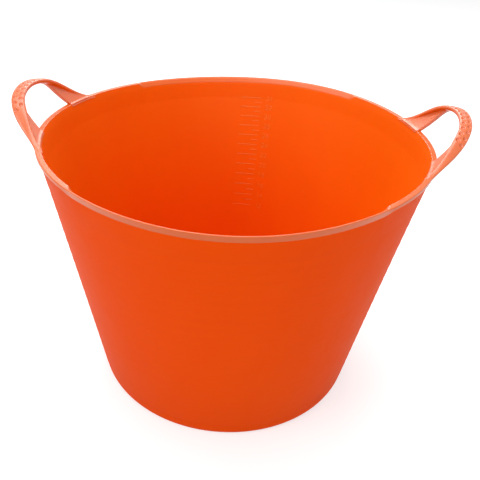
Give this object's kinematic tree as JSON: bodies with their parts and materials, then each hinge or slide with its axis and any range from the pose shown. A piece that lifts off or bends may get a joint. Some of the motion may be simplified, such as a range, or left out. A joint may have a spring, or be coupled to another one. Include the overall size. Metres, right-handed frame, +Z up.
{
  "type": "mortar mixing tub",
  "caption": "Flexible tapered mixing tub with a rolled rim, ringed wall, two loop handles with dimpled grips, and a raised litre scale inside.",
  "frame": {"origin": "centre of the base, on the ground", "axes": "+Z up along the tub's axis, +X through the right handle, +Y to the rear, where the litre scale is"},
  "size_m": [0.5042, 0.45, 0.368],
  "materials": {
    "tub_wall": "semi-gloss moulded soft polyethylene",
    "grip": "semi-gloss moulded soft polyethylene, dimpled",
    "raised_marks": "semi-gloss moulded soft polyethylene, raised marks"
  },
  "bodies": {
    "tub": {"floor_disc": "tub_wall", "gate_stub": "tub_wall", "foot_ring": "tub_wall", "heel_ring": "tub_wall", "side_wall": "tub_wall", "plain_top_band": "tub_wall", "front_pouring_rim": "tub_wall", "rear_pouring_rim": "tub_wall", "left_handle_rim": "tub_wall", "right_handle_rim": "tub_wall", "litre_ticks": "raised_marks", "litre_numerals": "raised_marks", "left_front_web": "tub_wall", "left_rear_web": "tub_wall", "right_front_web": "tub_wall", "right_rear_web": "tub_wall"},
    "left_handle": {"left_grip": "grip", "left_front_arm": "tub_wall", "left_rear_arm": "tub_wall"},
    "right_handle": {"right_grip": "grip", "right_front_arm": "tub_wall", "right_rear_arm": "tub_wall"}
  },
  "joints": [
    {"name": "left_handle_flex", "type": "hinge", "parent": "tub", "child": "left_handle", "pos_m": [-0.22521, 0, 0.341], "axis": [0, 1, 0], "range_deg": [-25, 50], "stiffness_Nm_per_rad": 1.2},
    {"name": "right_handle_flex", "type": "hinge", "parent": "tub", "child": "right_handle", "pos_m": [0.22521, 0, 0.341], "axis": [0, -1, 0], "range_deg": [-25, 50], "stiffness_Nm_per_rad": 1.2}
  ]
}
